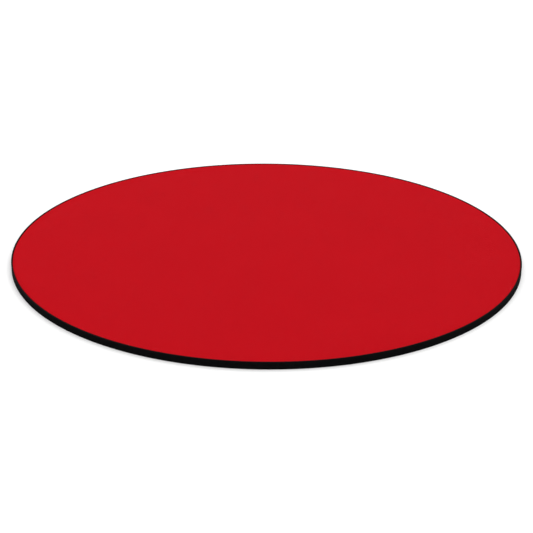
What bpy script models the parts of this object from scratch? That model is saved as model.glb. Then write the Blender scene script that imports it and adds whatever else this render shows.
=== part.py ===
"""A thin round mat: a red cloth face bonded into a black sponge rubber base.

The mat lies flat, face up. Its origin is the centre of its underside and +Z points up through the
face. The moulded base is as thick as the whole mat: it has a shallow round pocket in its top, which
holds the bonding film with the cloth on it. What is left of the base around the pocket is a hairline
rim, level with the cloth. Every piece is a turned shape about the Z axis.

Units are metres.
"""

import math

import bmesh
import bpy

MM = 0.001

# Driving dimensions.
MAT_RADIUS = 110 * MM
MAT_THICKNESS = 3 * MM
RIM_WIDTH = 0.65 * MM
RIM_EDGE_RADIUS = 0.2 * MM
CLOTH_THICKNESS = 0.4 * MM
CLOTH_EDGE_RADIUS = 0.1 * MM
FILM_THICKNESS = 0.08 * MM
GLUE_LINE = 0.02 * MM  # what is left free between two bonded layers

# How finely the round shapes are cut into flats.
TURN_STEPS = 160
EDGE_STEPS = 3
SHARP_ANGLE = math.radians(35)

# The stack of layers, from the top down.
POCKET_RADIUS = MAT_RADIUS - RIM_WIDTH
LAYER_RADIUS = POCKET_RADIUS - GLUE_LINE
CLOTH_TOP = MAT_THICKNESS
CLOTH_UNDERSIDE = CLOTH_TOP - CLOTH_THICKNESS
FILM_TOP = CLOTH_UNDERSIDE - GLUE_LINE
FILM_UNDERSIDE = FILM_TOP - FILM_THICKNESS
POCKET_FLOOR = FILM_UNDERSIDE - GLUE_LINE

# Linear colour and roughness of each piece.
RED_CLOTH = ((0.533, 0.008, 0.014), 0.85)
BLACK_RUBBER = ((0.006, 0.006, 0.006), 0.9)
MILKY_FILM = ((0.62, 0.60, 0.54), 0.5)


def clear_scene():
    for obj in list(bpy.data.objects):
        bpy.data.objects.remove(obj, do_unlink=True)


def material(name, look):
    """A Principled material of one colour and roughness."""
    colour, roughness = look
    made = bpy.data.materials.new(name)
    made.use_nodes = True
    shader = made.node_tree.nodes["Principled BSDF"]
    shader.inputs["Base Color"].default_value = (*colour, 1.0)
    shader.inputs["Roughness"].default_value = roughness
    shader.inputs["Metallic"].default_value = 0.0
    made.diffuse_color = (*colour, 1.0)
    return made


def upper_edge(radius, top, ease):
    """The rounded edge of a disc's top, from its flat out and down to its side."""
    angles = [math.radians(90) * step / EDGE_STEPS for step in range(EDGE_STEPS + 1)]
    return [(radius - ease + ease * math.sin(a), top - ease + ease * math.cos(a)) for a in angles]


def lower_edge(radius, bottom, ease):
    """The rounded edge of a disc's underside, from its side down and in to its flat."""
    flipped = upper_edge(radius, -bottom, ease)
    return [(r, -z) for r, z in reversed(flipped)]


def turned(name, profile, look):
    """A solid of revolution about Z, from (radius, height) points that start and end on the axis."""
    shape = bmesh.new()
    points = [shape.verts.new((radius, 0.0, height)) for radius, height in profile]
    lines = [shape.edges.new(pair) for pair in zip(points, points[1:])]
    bmesh.ops.spin(
        shape,
        geom=points + lines,
        axis=(0, 0, 1),
        cent=(0, 0, 0),
        angle=math.tau,
        steps=TURN_STEPS,
        use_merge=True,
    )
    # Every copy of a point on the axis lies at one place, so they become one corner.
    bmesh.ops.remove_doubles(shape, verts=shape.verts, dist=0.001 * MM)
    bmesh.ops.recalc_face_normals(shape, faces=shape.faces)

    mesh = bpy.data.meshes.new(name)
    shape.to_mesh(mesh)
    shape.free()
    mesh.shade_smooth()
    mesh.set_sharp_from_angle(angle=SHARP_ANGLE)
    mesh.materials.append(material(name, look))
    obj = bpy.data.objects.new(name, mesh)
    bpy.context.collection.objects.link(obj)
    return obj


def rubber_base():
    """Black expanded rubber, moulded with the pocket in its top."""
    pocket = [(0.0, POCKET_FLOOR), (POCKET_RADIUS, POCKET_FLOOR), (POCKET_RADIUS, MAT_THICKNESS)]
    rim = upper_edge(MAT_RADIUS, MAT_THICKNESS, RIM_EDGE_RADIUS)
    underside = lower_edge(MAT_RADIUS, 0.0, RIM_EDGE_RADIUS) + [(0.0, 0.0)]
    return turned("rubber_base", pocket + rim + underside, BLACK_RUBBER)


def bond_film():
    """The hot-melt film that holds the cloth down over the whole pocket."""
    top = [(0.0, FILM_TOP), (LAYER_RADIUS, FILM_TOP)]
    underside = [(LAYER_RADIUS, FILM_UNDERSIDE), (0.0, FILM_UNDERSIDE)]
    return turned("bond_film", top + underside, MILKY_FILM)


def face_cloth():
    """The knitted polyester face, pressed down a little all round its cut edge."""
    top = [(0.0, CLOTH_TOP)] + upper_edge(LAYER_RADIUS, CLOTH_TOP, CLOTH_EDGE_RADIUS)
    underside = [(LAYER_RADIUS, CLOTH_UNDERSIDE), (0.0, CLOTH_UNDERSIDE)]
    return turned("face_cloth", top + underside, RED_CLOTH)


def main():
    clear_scene()
    rubber_base()
    bond_film()
    face_cloth()


main()
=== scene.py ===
"""Looks of the thin round mat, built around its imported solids.

The cloth and the rubber base are made again here in fine meshes, inside the boxes of their solids.
The bonding film between them keeps its solid and gets its own material. Units are metres, in the
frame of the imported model: the mat lies on z = 0, face up, centred on the origin.
"""

import math

import bmesh
import bpy
from mathutils import Euler, Matrix, Vector, geometry, noise


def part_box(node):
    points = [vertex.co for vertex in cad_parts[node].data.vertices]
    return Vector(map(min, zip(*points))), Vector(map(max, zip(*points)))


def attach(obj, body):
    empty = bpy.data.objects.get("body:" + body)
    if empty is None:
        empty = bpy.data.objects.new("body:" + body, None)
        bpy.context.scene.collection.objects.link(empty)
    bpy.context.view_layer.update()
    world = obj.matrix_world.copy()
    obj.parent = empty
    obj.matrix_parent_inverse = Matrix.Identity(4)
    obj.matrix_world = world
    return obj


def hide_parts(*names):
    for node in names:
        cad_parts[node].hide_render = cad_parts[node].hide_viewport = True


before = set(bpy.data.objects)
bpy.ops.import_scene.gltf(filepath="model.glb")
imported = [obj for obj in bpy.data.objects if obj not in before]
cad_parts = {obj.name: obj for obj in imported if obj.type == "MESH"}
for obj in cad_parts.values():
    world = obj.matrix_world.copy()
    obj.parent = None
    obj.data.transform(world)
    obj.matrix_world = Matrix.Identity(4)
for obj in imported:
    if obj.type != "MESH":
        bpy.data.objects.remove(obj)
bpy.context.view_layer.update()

MM = 0.001

# What the solids say.
BASE_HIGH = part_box("rubber_base")[1]
CLOTH_LOW, CLOTH_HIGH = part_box("face_cloth")
FILM_LOW, FILM_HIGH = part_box("bond_film")
MAT_RADIUS = BASE_HIGH.x
MAT_TOP = BASE_HIGH.z
GLUE_LINE = CLOTH_LOW.z - FILM_HIGH.z
CLOTH_RADIUS = CLOTH_HIGH.x
POCKET_RADIUS = CLOTH_RADIUS + GLUE_LINE
POCKET_FLOOR = FILM_LOW.z - GLUE_LINE

# The rubber base.
RIM_EDGE_RADIUS = 0.2 * MM
LOWER_EDGE_RADIUS = 0.08 * MM
POCKET_EDGE_RADIUS = 0.06 * MM
EDGE_STEPS = 4
BASE_TURN_STEPS = 1536
SIDE_RINGS = 14
SKIN_SLOT = 1  # the moulded skin among the base's materials, after the cut sponge at 0
CUT_WAVE = 0.05 * MM  # how far the cut side wanders inwards
CUT_WAVE_LENGTH = 2.2 * MM
PIT_DEPTH = 0.05 * MM
PIT_PITCH = 1.0 * MM
PIT_STEEPNESS = 2.5
FINE_CELL = 0.22 * MM
COARSE_CELL = 0.5 * MM
CELL_DEPTH = 0.1 * MM

# The grip pattern moulded into the underside: a honeycomb of low pads with grooves between them.
PAD_PITCH = 3.6 * MM
PAD_FLATS = 2.6 * MM  # across the flats of a pad, where it stands on the table
PAD_FOOT_FLATS = 3.0 * MM  # across its flats at the bottom of the groove
GROOVE_DEPTH = 0.3 * MM
PLAIN_BORDER = 2.0 * MM  # flat band round the outside of the pattern
BORDER_DRAFT = 0.2 * MM
BORDER_STEPS = 720
SAME_POINT = 1e-6  # how close two points are, in millimetres, to be taken as one

# The cloth.
CLOTH_TURN_STEPS = 512
CLOTH_RINGS = 72
CLOTH_EDGE_RINGS = 8
CLOTH_SINK = 0.1 * MM  # how far below the rim the press has left the cloth
CLOTH_EDGE_FALL = 0.18 * MM
CLOTH_EDGE_REACH = 0.7 * MM
UNDULATION = 0.05 * MM
UNDULATION_LENGTH = 28 * MM

# The knit of the cloth: V-shaped stitches in columns.
WALE_PITCH = 0.62 * MM
COURSE_PITCH = 0.46 * MM
STITCH_SLANT = 0.9
STITCH_WANDER = 9 * MM  # over what distance the columns drift from straight
FIBRE_SIZE = 0.07 * MM
DYE_DRIFT = 30 * MM
KNIT_DEPTH = 0.12 * MM

# Edges sharper than this are shaded as edges.
SIDE_SHARP_DEGREES = 32
CLOTH_SHARP_DEGREES = 60

# The stage.
FLOOR_HALF_WIDTH = 30.0
LAMP_ENERGY = 0.75
LAMP_ANGLE = math.radians(50)
LAMP_TURN = Euler((math.radians(-25), math.radians(20), 0.0))

# The camera, at the angle from which the mat is seen in its picture.
CAMERA_ELEVATION = math.radians(22.86)
CAMERA_ROLL = math.radians(0.34)
CAMERA_LENS = 100.0  # millimetres, on a sensor 36 mm wide
CAMERA_SENSOR = 36.0
CAMERA_DISTANCE = 5.878 * MAT_RADIUS
AIM_BEFORE_CENTRE = 0.1285 * MAT_RADIUS


# --------------------------------------------------------------------------------- mesh helpers


def new_object(name, mesh, materials):
    for material in materials:
        mesh.materials.append(material)
    obj = bpy.data.objects.new(name, mesh)
    bpy.context.scene.collection.objects.link(obj)
    return obj


def finished_mesh(shape, name, sharp_degrees):
    """Turns a bmesh into a mesh, shaded smooth except at edges sharper than the angle."""
    mesh = bpy.data.meshes.new(name)
    shape.to_mesh(mesh)
    shape.free()
    mesh.shade_smooth()
    mesh.set_sharp_from_angle(angle=math.radians(sharp_degrees))
    return mesh


def circle(radius, height, steps):
    angles = [math.tau * step / steps for step in range(steps)]
    return [Vector((radius * math.cos(a), radius * math.sin(a), height)) for a in angles]


def turn(shape, profile, steps):
    """Sweeps (radius, height) points round Z, as quads. Gives back the circles of corners."""
    circles = [[shape.verts.new(p) for p in circle(r, z, steps)] for r, z in profile]
    for inner, outer in zip(circles, circles[1:]):
        for i in range(steps):
            j = (i + 1) % steps
            shape.faces.new((inner[i], outer[i], outer[j], inner[j]))
    return circles


def cap(shape, corners, height):
    """Closes a circle with a fan of triangles round a corner on the axis, which it gives back."""
    centre = shape.verts.new((0.0, 0.0, height))
    for i, corner in enumerate(corners):
        shape.faces.new((centre, corner, corners[(i + 1) % len(corners)]))
    return centre


def rounded_edge(radius, height, ease):
    """An upper edge, from the flat out and down to the side, as (radius, height) points."""
    angles = [math.radians(90) * step / EDGE_STEPS for step in range(EDGE_STEPS + 1)]
    inner, low = radius - ease, height - ease
    return [(inner + ease * math.sin(a), low + ease * math.cos(a)) for a in angles]


def even_steps(first, last, count):
    """The values between first and last, without the two ends."""
    return [first + (last - first) * step / count for step in range(1, count)]


# ----------------------------------------------------------------------------- material helpers


class Tree:
    """Builds a material from nodes. An input is a number, a tuple, or another node's output."""

    def __init__(self, name):
        self.material = bpy.data.materials.new(name)
        self.material.use_nodes = True
        self.nodes = self.material.node_tree.nodes
        self.links = self.material.node_tree.links
        self.shader = self.nodes["Principled BSDF"]
        self.place = self.add("ShaderNodeTexCoord").outputs["Object"]

    def put(self, target, value):
        if isinstance(value, bpy.types.NodeSocket):
            self.links.new(value, target)
        else:
            target.default_value = value

    def add(self, kind, inputs=None, **settings):
        node = self.nodes.new(kind)
        for key, value in settings.items():
            setattr(node, key, value)
        for key, value in (inputs or {}).items():
            self.put(node.inputs[key], value)
        return node

    def math(self, operation, *values):
        node = self.add("ShaderNodeMath", dict(enumerate(values)), operation=operation)
        return node.outputs[0]

    def noise(self, size, detail=2.0):
        """Noise from 0 to 1, in lumps of about the given size."""
        inputs = {"Vector": self.place, "Scale": 1.0 / size, "Detail": detail}
        return self.add("ShaderNodeTexNoise", inputs).outputs["Fac"]

    def cells(self, size):
        """The distance to the nearest of many points, 0 to about 1, in cells of the given size."""
        inputs = {"Vector": self.place, "Scale": 1.0 / size}
        return self.add("ShaderNodeTexVoronoi", inputs).outputs["Distance"]

    def ramp(self, value, low, high, to_low, to_high):
        """Maps low..high to to_low..to_high, and holds the ends."""
        inputs = {0: value, 1: low, 2: high, 3: to_low, 4: to_high}
        return self.add("ShaderNodeMapRange", inputs).outputs[0]

    def tint(self, factor, first, second):
        """A colour from first, at 0, to second, at 1."""
        ramp = self.add("ShaderNodeValToRGB", {0: factor})
        ramp.color_ramp.elements[0].color = (*first, 1.0)
        ramp.color_ramp.elements[1].color = (*second, 1.0)
        return ramp.outputs["Color"]

    def bump(self, height, depth):
        """The normal of a surface raised by depth where height is 1."""
        inputs = {"Height": height, "Distance": depth, "Strength": 1.0}
        return self.add("ShaderNodeBump", inputs).outputs["Normal"]

    def finish(self, **sockets):
        for key, value in sockets.items():
            self.put(self.shader.inputs[key.replace("_", " ")], value)
        return self.material


# ------------------------------------------------------------------------------------ materials


def knit_height(tree):
    """Columns of V-shaped stitches, 0 between the yarns and 1 on top of them."""
    parts = tree.add("ShaderNodeSeparateXYZ", {0: tree.place}).outputs
    wander = tree.math("MULTIPLY", tree.noise(STITCH_WANDER), 0.5)
    column = tree.math("ADD", tree.math("DIVIDE", parts["X"], WALE_PITCH), wander)
    row = tree.math("ADD", tree.math("DIVIDE", parts["Y"], COURSE_PITCH), wander)
    across = tree.math("PINGPONG", column, 0.5)
    leg = tree.math("SINE", tree.math("MULTIPLY", across, math.tau))
    along = tree.math("MULTIPLY_ADD", across, 2 * STITCH_SLANT, row)
    loop = tree.math("ABSOLUTE", tree.math("SINE", tree.math("MULTIPLY", along, math.pi)))
    crown = tree.math("POWER", loop, 0.6)
    return tree.math("MULTIPLY", leg, crown)


def red_cloth():
    """Matt red polyester knit: painted shade between the stitches, with a faint drift in the dye.
    """
    tree = Tree("red_knit")
    stitches = knit_height(tree)
    fibres = tree.noise(FIBRE_SIZE)
    yarn = tree.math("MULTIPLY_ADD", fibres, 0.3, stitches)
    drift = tree.noise(DYE_DRIFT)
    # The colour follows the yarn height: painted shade between the stitches, random fibre
    # mottling, and a real drift in the dye.
    shade = tree.math("MULTIPLY_ADD", drift, 0.1, tree.math("MULTIPLY", yarn, 0.62))
    return tree.finish(
        Base_Color=tree.tint(shade, (0.372, 0.0010, 0.0053), (0.738, 0.0042, 0.0113)),
        Roughness=tree.ramp(fibres, 0.3, 0.7, 0.8, 0.95),
        Specular_IOR_Level=0.025,
        Sheen_Weight=0.12,
        Sheen_Roughness=0.5,
        Sheen_Tint=(0.9, 0.03, 0.05, 1.0),
        Normal=tree.bump(yarn, KNIT_DEPTH),
    )


def cut_sponge():
    """The side of the base, where the die went through the sponge and opened its cells."""
    tree = Tree("black_rubber_cut")
    fine = tree.cells(FINE_CELL)
    coarse = tree.cells(COARSE_CELL)
    pores = tree.math("MINIMUM", fine, coarse)
    open_cell = tree.ramp(pores, 0.15, 0.5, 0.0, 1.0)
    dust = tree.noise(1.5 * MM, detail=4.0)
    # Painted shade darkens the open cells, where the pits are; the dust noise varies the tone at
    # random.
    shade = tree.math("MULTIPLY", open_cell, dust)
    return tree.finish(
        Base_Color=tree.tint(shade, (0.0010, 0.0010, 0.0010), (0.0074, 0.0074, 0.0080)),
        Roughness=tree.ramp(dust, 0.3, 0.7, 0.75, 0.95),
        Specular_IOR_Level=0.015,
        Normal=tree.bump(open_cell, CELL_DEPTH),
    )


def moulded_skin():
    """The closed skin of the base: rubbed along the rim, polished where it stands on the table."""
    tree = Tree("black_rubber_skin")
    parts = tree.add("ShaderNodeSeparateXYZ", {0: tree.place}).outputs
    flat = tree.add("ShaderNodeCombineXYZ", {"X": parts["X"], "Y": parts["Y"]}).outputs[0]
    radius = tree.add("ShaderNodeVectorMath", {0: flat}, operation="LENGTH").outputs["Value"]
    grain = tree.noise(0.25 * MM, detail=4.0)
    bloom = tree.noise(14 * MM, detail=3.0)
    handling = tree.ramp(tree.noise(2.5 * MM, detail=4.0), 0.45, 0.7, 0.0, 1.0)
    edge = tree.ramp(radius, MAT_RADIUS - RIM_EDGE_RADIUS, MAT_RADIUS, 0.0, 1.0)
    rub = tree.math("MULTIPLY", edge, handling)
    skin = tree.math("MULTIPLY_ADD", grain, 0.3, tree.math("MULTIPLY", bloom, 0.4))
    shade = tree.math("MULTIPLY_ADD", rub, 0.3, skin)
    polish = tree.ramp(parts["Z"], 0.0, GROOVE_DEPTH, 0.5, 0.78)
    return tree.finish(
        Base_Color=tree.tint(shade, (0.0008, 0.0008, 0.0008), (0.0048, 0.0048, 0.0050)),
        Roughness=tree.math("MULTIPLY_ADD", bloom, 0.15, polish),
        Specular_IOR_Level=0.06,
        Normal=tree.bump(grain, 0.03 * MM),
    )


def hot_melt_film():
    """Milky adhesive that the press has squeezed into the knit and the sponge."""
    tree = Tree("hot_melt_film")
    flow = tree.noise(1.2 * MM, detail=4.0)
    return tree.finish(
        Base_Color=tree.tint(flow, (0.50, 0.47, 0.40), (0.72, 0.70, 0.64)),
        Roughness=tree.ramp(flow, 0.3, 0.7, 0.35, 0.6),
        Normal=tree.bump(flow, 0.02 * MM),
    )


def pale_floor():
    """A white light table, lit a little from below, so what lies on it has a faint shadow."""
    tree = Tree("pale_floor")
    grain = tree.noise(60 * MM, detail=4.0)
    return tree.finish(
        Base_Color=tree.tint(grain, (0.84, 0.84, 0.84), (0.86, 0.86, 0.86)),
        Roughness=0.95,
        Specular_IOR_Level=0.0,
        Emission_Color=(1.0, 1.0, 1.0, 1.0),
        Emission_Strength=0.15,
    )


# ---------------------------------------------------------------------------------- rubber base


def hexagon(centre, flats, height):
    """A hexagon with two of its flats facing along X."""
    reach = flats / math.sqrt(3)
    corners = []
    for step in range(6):
        angle = math.radians(30 + 60 * step)
        corner = centre + Vector((reach * math.cos(angle), reach * math.sin(angle)))
        corners.append(Vector((*corner, height)))
    return corners


def pad_centres(within):
    """A triangular lattice of points whose pads lie wholly inside a radius."""
    row_pitch = PAD_PITCH * math.sqrt(3) / 2
    rows = math.ceil(within / row_pitch)
    columns = math.ceil(within / PAD_PITCH) + 1
    limit = within - PAD_FOOT_FLATS / math.sqrt(3)
    centres = []
    for row in range(-rows, rows + 1):
        shift = PAD_PITCH / 2 if row % 2 else 0.0
        for column in range(-columns, columns + 1):
            centre = Vector((column * PAD_PITCH + shift, row * row_pitch))
            if centre.length < limit:
                centres.append(centre)
    return centres


def underside(shape, outer):
    """The grip pattern, out to the circle of corners where the side begins."""
    border = MAT_RADIUS - LOWER_EDGE_RADIUS - PLAIN_BORDER
    loops = [[v.co.copy() for v in outer]]
    loops.append(circle(border, 0.0, BORDER_STEPS))
    loops.append(circle(border - BORDER_DRAFT, GROOVE_DEPTH, BORDER_STEPS))
    for centre in pad_centres(border - BORDER_DRAFT):
        loops.append(hexagon(centre, PAD_FLATS, 0.0))
        loops.append(hexagon(centre, PAD_FOOT_FLATS, GROOVE_DEPTH))

    points = [point for loop in loops for point in loop]
    edges, start = [], 0
    for loop in loops:
        edges += [(start + i, start + (i + 1) % len(loop)) for i in range(len(loop))]
        start += len(loop)
    flat = [point.to_2d() / MM for point in points]
    _, _, triangles, sources, _, _ = geometry.delaunay_2d_cdt(flat, edges, [], 0, SAME_POINT)
    corners = []
    for source in sources:
        first = source[0]
        at_edge = first < len(outer)
        corners.append(outer[first] if at_edge else shape.verts.new(points[first]))
    for triangle in triangles:
        face = shape.faces.new([corners[i] for i in reversed(triangle)])
        face.material_index = SKIN_SLOT


def weather_side(circles):
    """Moves the corners of the cut side inwards, for the die's waver and the opened cells."""
    for corners in circles:
        for corner in corners:
            place = corner.co
            wave = 0.5 + 0.5 * noise.noise(place / CUT_WAVE_LENGTH)
            nearest = noise.voronoi(place / PIT_PITCH)[0][0]
            pit = max(0.0, 1.0 - PIT_STEEPNESS * nearest)
            depth = CUT_WAVE * wave + PIT_DEPTH * pit
            inwards = Vector((-place.x, -place.y, 0.0)).normalized()
            corner.co = place + inwards * depth


def rubber_base():
    shape = bmesh.new()
    rim = [
        (POCKET_RADIUS, POCKET_FLOOR),
        (POCKET_RADIUS, MAT_TOP - POCKET_EDGE_RADIUS),
        (POCKET_RADIUS + POCKET_EDGE_RADIUS, MAT_TOP),
    ]
    upper = rounded_edge(MAT_RADIUS, MAT_TOP, RIM_EDGE_RADIUS)
    side_low, side_high = LOWER_EDGE_RADIUS, MAT_TOP - RIM_EDGE_RADIUS
    side = [(MAT_RADIUS, z) for z in even_steps(side_high, side_low, SIDE_RINGS)]
    lower = [(r, -z) for r, z in reversed(rounded_edge(MAT_RADIUS, 0.0, LOWER_EDGE_RADIUS))]
    circles = turn(shape, rim + upper + side + lower, BASE_TURN_STEPS)
    cap(shape, circles[0], POCKET_FLOOR)
    for face in shape.faces:
        if face.calc_center_median().z > MAT_TOP - RIM_EDGE_RADIUS:
            face.material_index = SKIN_SLOT
    underside(shape, circles[-1])
    first_side = len(rim) + EDGE_STEPS
    weather_side(circles[first_side : first_side + SIDE_RINGS + 1])
    mesh = finished_mesh(shape, "sponge_base", SIDE_SHARP_DEGREES)
    return new_object("sponge_base", mesh, [cut_sponge(), moulded_skin()])


# ---------------------------------------------------------------------------------------- cloth


def cloth_fall(radius):
    """How far the cloth is pressed down near its cut edge."""
    share = max(0.0, 1.0 - (CLOTH_RADIUS - radius) / CLOTH_EDGE_REACH)
    return CLOTH_EDGE_FALL * (1.0 - math.sqrt(max(0.0, 1.0 - share * share)))


def knit_face():
    shape = bmesh.new()
    flat_radius = CLOTH_RADIUS - CLOTH_EDGE_REACH
    radii = [flat_radius * step / CLOTH_RINGS for step in range(1, CLOTH_RINGS + 1)]
    radii += even_steps(flat_radius, CLOTH_RADIUS, CLOTH_EDGE_RINGS) + [CLOTH_RADIUS]
    height = MAT_TOP - CLOTH_SINK
    top = [(r, height - cloth_fall(r)) for r in radii]
    edge = [(CLOTH_RADIUS, CLOTH_LOW.z)]
    circles = turn(shape, top + edge, CLOTH_TURN_STEPS)
    cap(shape, circles[0], height)
    underside_centre = cap(shape, circles[-1][::-1], CLOTH_LOW.z)
    underside_corners = {underside_centre, *circles[-1]}
    for corner in shape.verts:
        if corner not in underside_corners:
            lift = 0.5 + 0.5 * noise.noise(corner.co / UNDULATION_LENGTH)
            corner.co.z -= UNDULATION * lift
    mesh = finished_mesh(shape, "knit_face", CLOTH_SHARP_DEGREES)
    return new_object("knit_face", mesh, [red_cloth()])


# -------------------------------------------------------------------------------- stage and view


def stage():
    shape = bmesh.new()
    bmesh.ops.create_grid(shape, x_segments=1, y_segments=1, size=FLOOR_HALF_WIDTH)
    floor = new_object("floor", finished_mesh(shape, "floor", SIDE_SHARP_DEGREES), [pale_floor()])

    world = bpy.data.worlds.new("studio")
    world.use_nodes = True
    background = world.node_tree.nodes["Background"]
    background.inputs["Color"].default_value = (1.0, 1.0, 1.0, 1.0)
    background.inputs["Strength"].default_value = 1.0
    bpy.context.scene.world = world

    lamp = bpy.data.lights.new("soft_box", "SUN")
    lamp.energy = LAMP_ENERGY
    lamp.angle = LAMP_ANGLE
    soft_box = bpy.data.objects.new("soft_box", lamp)
    soft_box.rotation_euler = LAMP_TURN
    bpy.context.scene.collection.objects.link(soft_box)
    bpy.context.scene.view_settings.view_transform = "Standard"


def camera():
    data = bpy.data.cameras.new("camera")
    data.sensor_width = CAMERA_SENSOR
    data.lens = CAMERA_LENS
    data.clip_start = 0.01
    data.clip_end = 100.0
    obj = bpy.data.objects.new("camera", data)
    back = Vector((0.0, -math.cos(CAMERA_ELEVATION), math.sin(CAMERA_ELEVATION)))
    obj.location = CAMERA_DISTANCE * back
    aim = Vector((0.0, -AIM_BEFORE_CENTRE, 0.0))
    level = (aim - obj.location).to_track_quat("-Z", "Y").to_matrix()
    obj.rotation_euler = (level @ Matrix.Rotation(CAMERA_ROLL, 3, "Z")).to_euler()
    bpy.context.scene.collection.objects.link(obj)
    bpy.context.scene.camera = obj


def main():
    camera()
    stage()

    base = rubber_base()
    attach(base, "root")
    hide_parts("rubber_base")

    cloth = knit_face()
    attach(cloth, "root")
    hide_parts("face_cloth")

    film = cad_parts["bond_film"]
    film.material_slots[0].material = hot_melt_film()


main()
